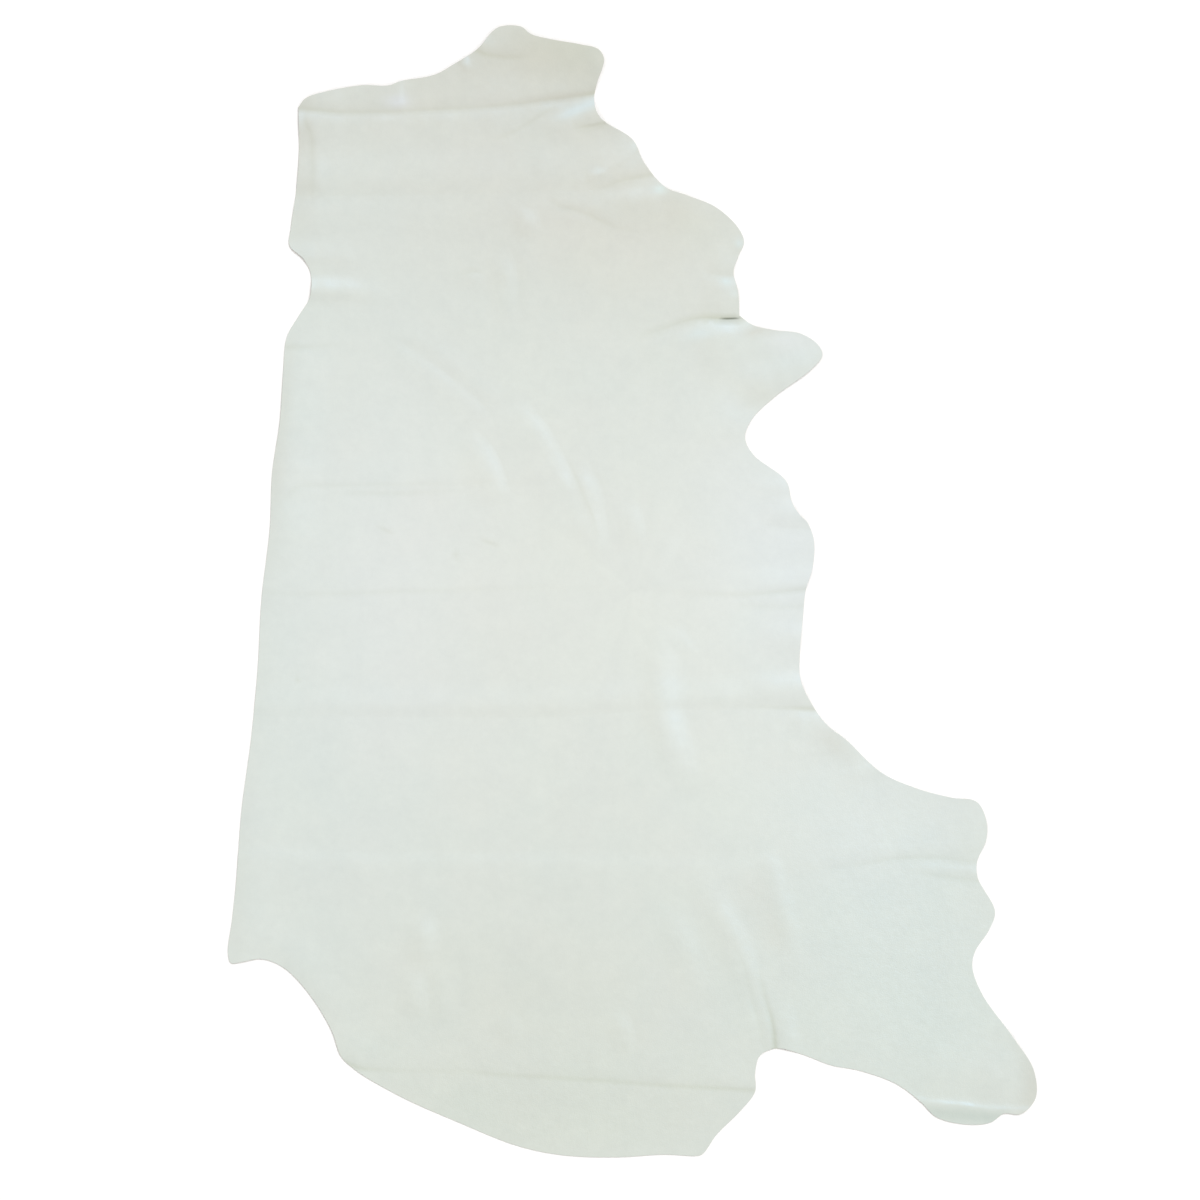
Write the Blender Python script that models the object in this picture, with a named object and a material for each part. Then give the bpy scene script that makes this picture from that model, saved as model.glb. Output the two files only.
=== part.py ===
"""A leather hide: one side of a cow hide, cut along the backbone, lying grain side up.

The hide is one sheet of leather. Its outline is a smooth curve through landmarks
along the trimmed edge. The inside is filled with points, close together along the
folds and further apart where the leather lies flat. Each fold raises the points
near it, and the sheet gets its thickness upward, so that the leather between the
folds rests flat on the ground at z = 0.

x runs from the backbone to the belly, y from the butt to the neck, and z up.
The origin is on the ground, under the middle of the hide's box.
"""

import math
from collections import namedtuple

import bmesh
import bpy
import numpy as np
from mathutils import Vector
from mathutils.geometry import delaunay_2d_cdt

CM = 0.01
MM = 0.001

# Driving dimensions, in metres.
HIDE_LENGTH = 2.15  # neck to butt, over the longest reach
HIDE_WIDTH = 1.537  # backbone to the hind shank, over the widest reach
THICKNESS = 0.0014

# How finely the sheet is divided, in centimetres.
EDGE_STEP = 1.7
FOLD_STEP = 3.4
FLAT_STEP = 6.5
LEAST_GAP = 0.65  # between any two points of the mesh
LEAST_GAP_TO_FOLD = 3.2  # from a point of the flat lattice to a fold's own points
LEAST_GAP_TO_EDGE = 0.9
LEAST_SIDE = 0.3  # shorter sides are closed up, as where a crease meets the edge near a point of it
SAME_POINT = 0.001  # points this near to each other are one when the inside is filled

# A swell lower than this has sunk under its own weight and lies on the ground.
SUNK = 0.4  # mm

LEATHER_COLOUR = (0.74, 0.78, 0.74, 1.0)
LEATHER_ROUGHNESS = 0.48
CREASE_ANGLE = math.radians(40)

# The trimmed edge, clockwise from the neck's corner at the backbone. Each run starts
# at a corner and is one smooth curve. A row holds one stretch of the edge, and its
# landmarks are (x, y) in centimetres from the middle of the hide.
Stretch = namedtuple("Stretch", "name starts_at_corner landmarks")
EDGE = (
    Stretch("neck", True, (
        (-63.3, 92.2), (-61.9, 94.0), (-58.0, 95.3), (-50.9, 96.6), (-46.3, 96.4),
        (-43.7, 97.2), (-38.8, 98.0), (-34.2, 100.2), (-29.7, 103.2), (-26.9, 106.4),
        (-25.0, 107.5), (-21.0, 107.5), (-19.1, 106.3), (-15.3, 105.2), (-9.6, 104.3),
        (-6.3, 103.2), (-5.2, 101.3), (-6.5, 96.9), (-6.9, 94.0), (-6.3, 91.1),
    )),
    Stretch("shoulder", False, (
        (-5.0, 89.4), (0.2, 86.1), (2.7, 81.8), (6.5, 77.1), (10.8, 75.6),
        (16.2, 73.1), (20.4, 69.1), (21.4, 66.5), (20.4, 64.0), (19.4, 60.8),
        (20.3, 57.0),
    )),
    Stretch("foreleg", True, (
        (20.5, 52.6), (23.0, 51.0), (27.5, 50.1), (32.0, 49.3), (35.4, 47.1),
        (36.3, 45.0), (34.3, 42.4), (27.5, 37.3), (22.9, 32.8), (21.6, 29.3),
        (23.2, 26.1),
    )),
    Stretch("belly", False, (
        (29.4, 21.1), (30.5, 17.1), (33.5, 13.3), (34.7, 9.7), (34.4, 4.4),
        (33.1, 0.2), (32.6, -4.9), (32.0, -12.0), (32.2, -16.9), (35.4, -22.7),
        (40.9, -28.0), (47.6, -34.4), (54.7, -37.5), (60.8, -39.1), (65.6, -39.9),
        (67.5, -43.7), (67.4, -47.3), (65.7, -51.3), (65.9, -54.3), (69.0, -60.6),
        (67.9, -64.4), (65.3, -68.4),
    )),
    Stretch("hind shank", False, (
        (64.8, -71.4), (66.6, -76.4), (72.9, -84.6), (76.4, -90.8), (76.8, -96.3),
        (74.0, -99.3), (70.8, -99.2), (68.3, -100.9), (63.9, -101.3), (58.0, -99.9),
        (55.0, -97.0), (50.2, -93.5), (43.6, -91.1), (37.9, -90.0), (32.6, -88.0),
        (27.5, -86.8), (24.4, -88.2), (23.5, -91.4), (23.5, -95.0), (20.8, -98.6),
        (16.2, -103.2), (13.4, -107.0),
    )),
    Stretch("butt", True, (
        (11.9, -107.3), (6.2, -107.0), (-2.8, -107.5), (-13.2, -107.1),
        (-21.8, -105.3), (-32.8, -100.9), (-43.8, -96.0), (-52.5, -90.9),
        (-55.2, -88.3), (-57.1, -83.6), (-61.0, -76.8), (-65.9, -71.6),
        (-70.2, -69.8), (-74.2, -70.4),
    )),
    Stretch("backbone", False, (
        (-76.1, -70.6), (-76.7, -68.6), (-76.0, -62.3), (-75.1, -54.7), (-74.0, -41.6),
        (-72.1, -27.2), (-70.8, -14.1), (-70.2, -1.4), (-68.7, 13.7), (-68.3, 22.4),
        (-66.8, 32.7), (-66.2, 41.6), (-65.5, 48.5), (-63.2, 52.6), (-61.1, 56.2),
        (-61.0, 60.6), (-62.4, 63.4), (-65.0, 65.9), (-64.7, 69.5), (-63.6, 77.3),
        (-63.2, 84.0),
    )),
)

# The folds, one row each. A crease is a sharp line pressed down to the ground, with
# the leather swollen on both sides of it. A ridge is a soft raised fold.
#   path          (x, y) in centimetres, the same way as the edge's landmarks
#   start, end    height in millimetres at the path's two ends
#   left, right   width in centimetres of the slope on each side of the path, as
#                 seen by someone who walks along it
#   fade          how far a crease's swell reaches from it, in centimetres
#   grow, shrink  length over which the fold rises from nothing and sinks back,
#                 in centimetres; 0 where it runs off the hide at full height
CREASE = "crease"
RIDGE = "ridge"
Fold = namedtuple("Fold", "name kind path start end left right fade grow shrink")
FOLDS = (
    Fold("neck crease", CREASE,
         ((-65.3, 92.3), (-56.0, 91.6), (-40.6, 91.8), (-25.4, 92.5), (-10.2, 94.4), (-3.7, 95.4)),
         2.5, 6.5, 2.2, 2.0, 8.0, 0, 0),
    Fold("neck lift", RIDGE,
         ((-65.6, 95.0), (-44.0, 98.2), (-25.0, 108.7), (-3.1, 104.1)),
         4.0, 9.0, 4.0, 11.0, 0, 0, 0),
    Fold("throat ridge", RIDGE,
         ((-16.4, 88.5), (-10.7, 90.2), (-4.1, 92.2)),
         1.0, 9.0, 2.4, 2.6, 0, 4.0, 0),
    Fold("throat tuck", CREASE,
         ((-10.5, 88.3), (-7.5, 88.7), (-4.1, 89.7)),
         2.0, 6.0, 0.8, 0.9, 4.0, 1.5, 0),
    Fold("withers crease", CREASE,
         ((-66.0, 75.2), (-47.8, 74.9), (-30.7, 75.2), (-13.6, 76.0), (8.5, 77.0)),
         2.6, 1.6, 3.4, 2.6, 9.0, 0, 8.0),
    Fold("shoulder fold", CREASE,
         ((-7.5, 76.8), (-2.2, 78.3), (1.6, 79.2), (6.6, 80.8)),
         2.0, 6.5, 1.7, 2.6, 7.0, 6.0, 0),
    Fold("back notch crease", CREASE,
         ((-63.4, 60.6), (-57.3, 60.8), (-48.9, 61.6)),
         4.0, 1.0, 1.7, 1.9, 5.0, 0, 6.0),
    Fold("back notch ridge", RIDGE,
         ((-63.4, 56.6), (-54.4, 57.0), (-44.7, 55.3)),
         5.5, 1.5, 2.4, 2.4, 0, 0, 7.0),
    Fold("back tuck", CREASE,
         ((-67.5, 46.7), (-61.1, 46.7), (-52.7, 47.3)),
         3.2, 1.5, 2.2, 1.8, 5.0, 0, 5.0),
    Fold("foreleg pleat", CREASE,
         ((1.6, 49.0), (7.7, 50.7), (13.0, 52.0), (17.2, 52.6), (22.5, 52.9)),
         2.0, 10.0, 1.5, 3.0, 9.0, 8.0, 0),
    Fold("foreleg ridge", RIDGE,
         ((14.0, 46.0), (24.4, 44.5), (38.1, 44.6)),
         2.0, 5.5, 3.4, 4.6, 0, 8.0, 0),
    Fold("shoulder wrinkle", CREASE,
         ((-20.0, 36.1), (-15.3, 28.9), (-12.3, 22.2), (-10.7, 16.5), (-7.5, 11.2)),
         2.4, 2.4, 1.1, 2.2, 5.0, 4.0, 5.0),
    Fold("chest crease", CREASE,
         ((-70.2, 18.8), (-53.5, 20.1), (-28.8, 20.7), (-6.0, 20.3)),
         2.2, 1.4, 1.6, 1.6, 8.0, 0, 16.0),
    Fold("belly crease", CREASE,
         ((-71.0, -0.2), (-50.8, -0.4), (-39.6, 0.3), (-17.2, 0.8), (-4.1, 1.5), (16.1, 0.0),
          (22.1, -0.2), (35.1, 1.1)),
         1.8, 5.0, 1.8, 1.8, 8.0, 0, 0),
    Fold("middle crease", CREASE,
         ((-73.2, -21.9), (-54.8, -22.0), (-27.3, -22.6), (-13.6, -22.4), (5.2, -21.1),
          (29.7, -20.9), (37.0, -22.4)),
         3.0, 6.0, 2.2, 2.2, 9.0, 6.0, 0),
    Fold("loin ridge", RIDGE,
         ((7.9, -6.5), (6.9, -13.9), (6.9, -22.4), (8.6, -31.0), (10.5, -38.0)),
         3.0, 2.4, 3.6, 1.5, 0, 7.0, 6.0),
    Fold("hip ridge", RIDGE,
         ((-76.3, -51.3), (-44.0, -50.5), (-15.1, -51.1), (13.0, -52.2), (37.3, -52.1),
          (50.1, -50.2)),
         3.0, 3.0, 6.0, 3.2, 0, 8.0, 12.0),
    Fold("flank swell", RIDGE,
         ((37.7, -51.7), (52.9, -49.6), (68.1, -47.7)),
         4.0, 6.5, 12.0, 2.6, 0, 12.0, 0),
    Fold("flank tuck", CREASE,
         ((48.7, -52.4), (58.2, -53.6), (68.9, -55.1)),
         1.5, 4.5, 1.5, 1.5, 6.0, 6.0, 0),
    Fold("butt crease", CREASE,
         ((-56.9, -88.2), (-51.4, -90.4), (-30.5, -91.0), (-16.4, -92.2), (6.7, -93.7), (25.9, -95.0)),
         4.0, 4.4, 2.2, 2.6, 8.0, 0, 0),
    Fold("flank ridge", RIDGE,
         ((14.0, -57.2), (17.2, -63.3), (21.0, -69.9), (23.8, -76.0), (25.9, -81.7), (27.3, -89.3)),
         3.0, 6.5, 3.2, 3.6, 0, 6.0, 0),
    Fold("thigh fold", RIDGE,
         ((27.8, -51.3), (29.4, -58.5), (31.6, -67.6)),
         4.0, 2.5, 2.2, 6.0, 0, 5.0, 7.0),
    Fold("belly wave 1", RIDGE,
         ((20.2, 19.6), (25.4, 20.1), (32.0, 20.3)),
         2.0, 4.5, 2.6, 1.8, 0, 4.0, 0),
    Fold("belly wave 2", RIDGE,
         ((24.8, 15.8), (35.2, 16.5)),
         2.0, 4.0, 1.6, 2.2, 0, 4.0, 0),
    Fold("belly wave 3", RIDGE,
         ((24.0, 8.0), (37.2, 8.7)),
         2.0, 4.5, 3.0, 3.2, 0, 5.0, 0),
    Fold("belly wave 4", RIDGE,
         ((23.7, -8.9), (34.3, -8.4)),
         2.5, 5.5, 3.4, 3.0, 0, 5.0, 0),
    Fold("belly wave 5", RIDGE,
         ((23.3, -18.2), (35.3, -18.6)),
         2.5, 5.5, 3.2, 1.8, 0, 5.0, 0),
    Fold("belly wave 6", RIDGE,
         ((29.3, -29.5), (41.9, -23.9)),
         2.0, 5.5, 3.4, 4.5, 0, 6.0, 0),
    Fold("shank lip", RIDGE,
         ((52.5, -95.4), (57.7, -96.9), (63.2, -97.7), (68.7, -98.6), (77.9, -99.6)),
         5.0, 6.5, 1.3, 3.2, 0, 4.0, 0),
    Fold("butt roll", RIDGE,
         ((-71.3, -63.8), (-63.7, -70.3), (-58.0, -78.3), (-54.2, -85.9)),
         2.8, 2.8, 7.0, 3.4, 0, 5.0, 5.0),
    Fold("back roll", RIDGE,
         ((-61.8, 45.6), (-63.7, 32.7), (-65.1, 17.5), (-67.4, -5.3), (-69.4, -28.1),
          (-71.5, -50.9), (-72.5, -64.2)),
         2.8, 2.6, 8.0, 3.2, 0, 6.0, 5.0),
)


def smooth_path(landmarks, step):
    """Points about `step` apart on a smooth curve through the landmarks (centripetal Catmull-Rom)."""
    known = np.array(landmarks, float)
    before = 2 * known[0] - known[1]
    after = 2 * known[-1] - known[-2]
    known = np.vstack([before, known, after])
    knots = np.concatenate([[0], np.cumsum(np.linalg.norm(np.diff(known, axis=0), axis=1) ** 0.5)])
    made = []
    for i in range(1, len(known) - 2):
        span = np.linalg.norm(known[i + 1] - known[i])
        pieces = max(1, math.ceil(span / step))
        t = np.linspace(knots[i], knots[i + 1], pieces, endpoint=False)[:, None]
        made.append(centripetal_span(known[i - 1:i + 3], knots[i - 1:i + 3], t))
    made.append(known[-2:-1])
    return np.vstack(made)


def centripetal_span(p, k, t):
    """The curve between the second and the third of four points p, whose knots are k."""
    def between(low, high, start, end):
        share = (t - start) / (end - start)
        return low * (1 - share) + high * share

    a = between(p[0], p[1], k[0], k[1])
    b = between(p[1], p[2], k[1], k[2])
    c = between(p[2], p[3], k[2], k[3])
    ab = between(a, b, k[0], k[2])
    bc = between(b, c, k[1], k[3])
    return between(ab, bc, k[1], k[2])


def edge_points():
    """The closed outline in centimetres: one smooth run from each corner to the next."""
    runs = []
    for stretch in EDGE:
        if stretch.starts_at_corner:
            runs.append([])
        runs[-1].extend(stretch.landmarks)
    corners = [run[0] for run in runs]
    following = corners[1:] + corners[:1]
    paths = [smooth_path(run + [corner], EDGE_STEP)[:-1] for run, corner in zip(runs, following)]
    return np.vstack(paths)


def along_and_across(points, path):
    """For each point, how far along the path its nearest place is, and its distance to the left of it."""
    start = path[:-1]
    run = path[1:] - start
    lengths = np.linalg.norm(run, axis=1)
    travelled = np.concatenate([[0], np.cumsum(lengths)])
    offset = points[:, None, :] - start[None, :, :]
    share = np.clip((offset * run).sum(axis=2) / lengths**2, 0, 1)
    away = offset - share[:, :, None] * run
    distance = np.linalg.norm(away, axis=2)
    nearest = distance.argmin(axis=1)
    rows = np.arange(len(points))
    side = run[nearest, 0] * away[rows, nearest, 1] - run[nearest, 1] * away[rows, nearest, 0]
    along = travelled[nearest] + share[rows, nearest] * lengths[nearest]
    return along, np.where(side >= 0, 1, -1) * distance[rows, nearest], travelled[-1]


def eased(share):
    """0 to 1 with a soft start and a soft end."""
    share = np.clip(share, 0, 1)
    return share * share * (3 - 2 * share)


def fold_height(fold, points):
    """Height in millimetres that one fold gives to points in centimetres."""
    along, across, length = along_and_across(points, smooth_path(fold.path, FOLD_STEP / 2))
    height = fold.start + (fold.end - fold.start) * along / length
    if fold.grow:
        height = height * eased(along / fold.grow)
    if fold.shrink:
        height = height * eased((length - along) / fold.shrink)
    slope_width = np.where(across >= 0, fold.left, fold.right)
    reach = np.clip(np.abs(across) / slope_width, 0, 1)
    if fold.kind == RIDGE:
        return height * np.cos(reach * math.pi / 2) ** 2
    swell = np.clip((np.abs(across) - slope_width) / (fold.fade - slope_width), 0, 1)
    return height * np.sin(reach * math.pi / 2) * np.cos(swell * math.pi / 2) ** 2


def relief(points):
    """Height of the sheet's underside in millimetres at points in centimetres."""
    total = sum(fold_height(fold, points) for fold in FOLDS)
    return np.maximum(total - SUNK, 0)


def fold_rows(fold):
    """Points in rows beside the fold: on its slopes and at their feet, and on a ridge's crest."""
    path = smooth_path(fold.path, FOLD_STEP)
    direction = np.gradient(path, axis=0)
    direction /= np.linalg.norm(direction, axis=1)[:, None]
    to_the_left = np.column_stack([-direction[:, 1], direction[:, 0]])
    offsets = [fold.left, -fold.right]
    if fold.kind == RIDGE:
        offsets += [0, fold.left / 2, -fold.right / 2]
    else:
        offsets += [fold.left / 2, -fold.right / 2]
        offsets += [(fold.left + fold.fade) / 2, -(fold.right + fold.fade) / 2]
    return np.vstack([path + offset * to_the_left for offset in offsets])


def flat_lattice(edge):
    """Staggered rows of points over the whole hide."""
    low, high = edge.min(axis=0), edge.max(axis=0)
    row_height = FLAT_STEP * math.sqrt(3) / 2
    rows = []
    for i, y in enumerate(np.arange(low[1], high[1], row_height)):
        x = np.arange(low[0] + (i % 2) * FLAT_STEP / 2, high[0], FLAT_STEP)
        rows.append(np.column_stack([x, np.full(len(x), y)]))
    return np.vstack(rows)


def inside(points, edge):
    """Which points lie inside the outline: a ray to the right crosses it an odd number of times."""
    a, b = edge, np.roll(edge, -1, axis=0)
    y = points[:, 1:2]
    spans = (a[:, 1] > y) != (b[:, 1] > y)
    rise = np.where(a[:, 1] == b[:, 1], 1, b[:, 1] - a[:, 1])
    crossing = a[:, 0] + (y - a[:, 1]) / rise * (b[:, 0] - a[:, 0])
    return (spans & (points[:, 0:1] < crossing)).sum(axis=1) % 2 == 1


def clear_of(points, others, gap):
    """Those points that lie at least `gap` from all the others."""
    distance = np.linalg.norm(points[:, None, :] - others[None, :, :], axis=2)
    return points[distance.min(axis=1) >= gap]


def thinned(points, gap):
    """The points in turn, without those too near to one that was kept before."""
    kept = []
    for point in points:
        if all(math.dist(point, other) >= gap for other in kept):
            kept.append(point)
    return np.array(kept)


def inner_points(edge, crease_lines):
    """The points between the outline and the creases: the folds' rows, then the flat lattice around them."""
    rows = np.vstack([fold_rows(fold) for fold in FOLDS])
    rows = clear_of(rows[inside(rows, edge)], edge, LEAST_GAP_TO_EDGE)
    rows = clear_of(rows, crease_lines, LEAST_GAP)
    rows = thinned(rows, LEAST_GAP)
    lattice = flat_lattice(edge)
    lattice = clear_of(lattice[inside(lattice, edge)], edge, LEAST_GAP_TO_FOLD)
    lattice = clear_of(lattice, np.vstack([rows, crease_lines]), LEAST_GAP_TO_FOLD)
    return np.vstack([rows, lattice])


def sheet_bmesh():
    """The underside of the hide, triangulated inside its outline and raised by the folds."""
    edge = edge_points()
    creases = [smooth_path(fold.path, FOLD_STEP) for fold in FOLDS if fold.kind == CREASE]
    crease_lines = np.vstack(creases)
    points = np.vstack([edge, crease_lines, inner_points(edge, crease_lines)])
    crease_sides = []
    first = len(edge)
    for crease in creases:
        crease_sides += [(i, i + 1) for i in range(first, first + len(crease) - 1)]
        first += len(crease)
    outline = [list(range(len(edge)))]
    inside_only = 1
    places = [Vector(point) for point in points]
    filled = delaunay_2d_cdt(places, crease_sides, outline, inside_only, SAME_POINT)
    plan, faces = np.array([tuple(vert) for vert in filled[0]]), filled[2]
    heights = relief(plan)

    low, high = edge.min(axis=0), edge.max(axis=0)
    scale = np.array([HIDE_WIDTH, HIDE_LENGTH]) / (high - low)
    placed = (plan - (low + high) / 2) * scale

    sheet = bmesh.new()
    corners = [sheet.verts.new((x, y, z * MM)) for (x, y), z in zip(placed, heights)]
    for face in faces:
        sheet.faces.new([corners[i] for i in face])
    outside = [vert for vert in sheet.verts if not vert.link_faces]
    bmesh.ops.delete(sheet, geom=outside, context="VERTS")
    bmesh.ops.remove_doubles(sheet, verts=sheet.verts[:], dist=LEAST_SIDE * CM)
    sheet.normal_update()
    for face in sheet.faces:
        if face.normal.z < 0:
            face.normal_flip()
    return sheet


def thicken(sheet):
    """Extrudes the sheet straight up by its thickness, measured square to the leather."""
    sheet.normal_update()
    rise = sheet.verts.layers.float.new("rise")
    for vert in sheet.verts:
        vert[rise] = THICKNESS / vert.normal.z
    raised = bmesh.ops.extrude_face_region(sheet, geom=sheet.faces[:], use_keep_orig=True)
    for part in raised["geom"]:
        if isinstance(part, bmesh.types.BMVert):
            part.co.z += part[rise]
    bmesh.ops.recalc_face_normals(sheet, faces=sheet.faces[:])


def leather():
    material = bpy.data.materials.new("white_leather")
    material.use_nodes = True
    shader = material.node_tree.nodes["Principled BSDF"]
    shader.inputs["Base Color"].default_value = LEATHER_COLOUR
    shader.inputs["Roughness"].default_value = LEATHER_ROUGHNESS
    shader.inputs["Metallic"].default_value = 0.0
    return material


def hide():
    sheet = sheet_bmesh()
    thicken(sheet)
    mesh = bpy.data.meshes.new("hide")
    sheet.to_mesh(mesh)
    sheet.free()
    mesh.shade_smooth()
    mesh.set_sharp_from_angle(angle=CREASE_ANGLE)
    mesh.materials.append(leather())
    made = bpy.data.objects.new("hide", mesh)
    bpy.context.scene.collection.objects.link(made)
    return made


for leftover in list(bpy.data.objects):
    bpy.data.objects.remove(leftover, do_unlink=True)
hide()
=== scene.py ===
# %% [markdown]
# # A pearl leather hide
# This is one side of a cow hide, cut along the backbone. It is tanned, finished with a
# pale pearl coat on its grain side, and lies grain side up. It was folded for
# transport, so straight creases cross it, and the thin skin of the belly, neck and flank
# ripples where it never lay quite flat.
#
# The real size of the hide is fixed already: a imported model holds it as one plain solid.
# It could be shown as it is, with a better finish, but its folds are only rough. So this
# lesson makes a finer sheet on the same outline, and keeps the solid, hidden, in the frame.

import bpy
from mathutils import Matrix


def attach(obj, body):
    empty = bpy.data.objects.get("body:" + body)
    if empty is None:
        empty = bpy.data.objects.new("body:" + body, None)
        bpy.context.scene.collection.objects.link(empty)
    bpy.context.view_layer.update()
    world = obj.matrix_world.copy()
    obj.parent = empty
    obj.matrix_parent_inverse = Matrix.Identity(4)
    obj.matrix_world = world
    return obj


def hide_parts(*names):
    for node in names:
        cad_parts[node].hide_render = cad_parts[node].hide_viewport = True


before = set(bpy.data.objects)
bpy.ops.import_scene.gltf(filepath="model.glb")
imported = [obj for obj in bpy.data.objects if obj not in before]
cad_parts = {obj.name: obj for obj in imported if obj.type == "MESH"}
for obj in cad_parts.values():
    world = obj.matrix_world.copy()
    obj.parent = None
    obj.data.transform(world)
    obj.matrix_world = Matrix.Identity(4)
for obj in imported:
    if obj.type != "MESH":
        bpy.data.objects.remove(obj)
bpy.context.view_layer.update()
print("nodes:", sorted(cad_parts))

# %% [markdown]
# Blender comes with numpy, which works on thousands of points at once. Its own
# `mathutils` holds a triangle maker and a quick search for the nearest point.

# %% Tools and units
import math
from collections import namedtuple

import bpy
import numpy as np
from mathutils import Vector
from mathutils.geometry import delaunay_2d_cdt
from mathutils.kdtree import KDTree

MM = 0.001  # metres
HIDE_LENGTH = 2.15  # metres, neck to butt
HIDE_WIDTH = 1.537  # metres, backbone to the tip of the hind shank
THICKNESS = 1.4 * MM

# %% [markdown]
# ## The trimmed edge
# A tanner trims the hide with a round knife, so its edge is a flowing line with a few
# corners. It could be drawn as a curve object, but a table of landmarks is easier to read
# and to correct: x runs from the backbone to the belly, y from the butt to the neck, both
# in centimetres from the middle of the hide.

# %% Landmarks of the edge
Stretch = namedtuple("Stretch", "name starts_at_corner landmarks")
EDGE = (
    Stretch("neck", True, (
        (-63.3, 92.2), (-61.9, 93.9), (-58, 95.2), (-50.9, 96.4), (-46.3, 96.3),
        (-43.7, 97.2), (-38.8, 98.0), (-36.6, 98.7), (-34.2, 100.1), (-29.6, 103.0),
        (-28.1, 104.5), (-26.8, 106.2), (-25, 107.5), (-21, 107.5), (-19.1, 106.1),
        (-15.3, 105.1), (-9.6, 104.1), (-6.3, 103.2), (-5.2, 101.3), (-6.5, 96.9),
        (-7.1, 93.8), (-6.5, 91.1),
    )),
    Stretch("shoulder", False, (
        (-5, 89.4), (0.2, 86.1), (2.4, 81.7), (6.5, 77.0), (10.7, 75.4),
        (16.2, 73.1), (20.4, 69.1), (21.4, 66.5), (20.4, 64.0), (19.4, 60.8),
        (20.3, 57.0),
    )),
    Stretch("foreleg", True, (
        (20.5, 52.6), (23, 50.8), (27.3, 49.8), (32, 49.2), (35.4, 47.1),
        (36.3, 45.0), (34.3, 42.4), (27.5, 37.3), (22.9, 32.8), (21.6, 29.3),
        (23.2, 26.1),
    )),
    Stretch("belly", False, (
        (29.4, 21.1), (30.5, 17.1), (31.8, 14.9), (33.5, 13.1), (34.7, 9.7), (34.4, 4.4),
        (33.1, 0.2), (32.6, -4.9), (32, -12.0), (32.2, -16.9), (35.2, -22.8),
        (37.4, -25.5), (40.8, -28.1), (47.6, -34.4), (54.7, -37.5), (60.8, -39.1), (65.6, -39.9),
        (67.5, -43.7), (67.4, -47.3), (65.7, -51.3), (65.8, -54.3), (69.1, -60.8),
        (67.9, -64.4), (65.3, -68.4),
    )),
    Stretch("hind shank", False, (
        (64.8, -71.4), (66.6, -76.4), (72.6, -84.8), (76.4, -90.8), (76.8, -96.3),
        (74, -99.3), (70.8, -99.2), (68.3, -100.9), (63.9, -101.3), (58, -99.9),
        (55, -97.0), (50.2, -93.5), (43.6, -91.1), (37.9, -90.0), (32.6, -88.0),
        (27.5, -86.8), (24.4, -88.2), (23.5, -91.4), (23.5, -95.0), (20.8, -98.6),
        (16.2, -103.2), (13.4, -107.0),
    )),
    Stretch("butt", True, (
        (11.9, -107.3), (6.2, -107.0), (-2.8, -107.5), (-13.2, -107.1),
        (-21.8, -105.3), (-32.8, -100.9), (-43.8, -96.0), (-52.5, -90.9),
        (-55.2, -88.3), (-56.9, -83.6), (-61, -76.8), (-65.9, -71.6),
        (-70.2, -69.8), (-74.2, -70.4),
    )),
    Stretch("backbone", False, (
        (-76.1, -70.6), (-76.7, -68.6), (-75.9, -62.3), (-75.1, -54.9), (-74.1, -41.6),
        (-72.2, -27.2), (-71, -14.1), (-70.3, -1.4), (-68.7, 12.4), (-68.3, 22.4),
        (-66.8, 32.7), (-66.2, 41.6), (-65.5, 48.5), (-63.2, 52.6), (-61.1, 56.2),
        (-61, 60.6), (-62.4, 63.4), (-65, 65.9), (-64.7, 69.5), (-63.6, 77.3),
        (-63.2, 84.0),
    )),
)
print("edge:", sum(len(stretch.landmarks) for stretch in EDGE), "landmarks")

# %% [markdown]
# A smooth curve has to pass through every landmark without swinging out between two of
# them. One that looks at four landmarks at a time does that when its knots are spaced by
# the square root of the distance. The same curve serves for the folds later, whose
# landmarks carry a third column, and so the helper takes any further column along.

# %% A smooth curve through landmarks
def smooth_path(landmarks, step):
    """Points about `step` apart on a smooth curve through the landmarks."""
    known = np.array(landmarks, float)
    known = np.vstack([2 * known[0] - known[1], known, 2 * known[-1] - known[-2]])
    spans = np.linalg.norm(np.diff(known[:, :2], axis=0), axis=1)
    knots = np.concatenate([[0], np.cumsum(np.sqrt(spans))])
    made = []
    for i in range(1, len(known) - 2):
        pieces = max(1, math.ceil(spans[i] / step))
        at = np.linspace(knots[i], knots[i + 1], pieces, endpoint=False)[:, None]
        made.append(curve_span(known[i - 1:i + 3], knots[i - 1:i + 3], at))
    made.append(known[-2:-1])
    return np.vstack(made)


def curve_span(p, k, at):
    """The curve between the second and the third of four points p, whose knots are k."""
    def between(low, high, start, end):
        share = (at - start) / (end - start)
        return low * (1 - share) + high * share

    a = between(p[0], p[1], k[0], k[1])
    b = between(p[1], p[2], k[1], k[2])
    c = between(p[2], p[3], k[2], k[3])
    return between(between(a, b, k[0], k[2]), between(b, c, k[1], k[3]), k[1], k[2])


# %% The closed outline
EDGE_STEP = 0.5  # cm


def edge_points():
    """The outline in centimetres: one smooth run from each corner to the next."""
    runs = []
    for stretch in EDGE:
        if stretch.starts_at_corner:
            runs.append([])
        runs[-1].extend(stretch.landmarks)
    corners = [run[0] for run in runs]
    following = corners[1:] + corners[:1]
    paths = [smooth_path(run + [corner], EDGE_STEP)[:-1] for run, corner in zip(runs, following)]
    return np.vstack(paths)


outline = edge_points()
LOW, HIGH = outline.min(axis=0), outline.max(axis=0)
MIDDLE = (LOW + HIGH) / 2
SCALE = np.array([HIDE_WIDTH, HIDE_LENGTH]) / (HIGH - LOW)


def placed(plan):
    """Points of the plan, in centimetres, at their place in the frame, in metres."""
    return (plan - MIDDLE) * SCALE


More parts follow.
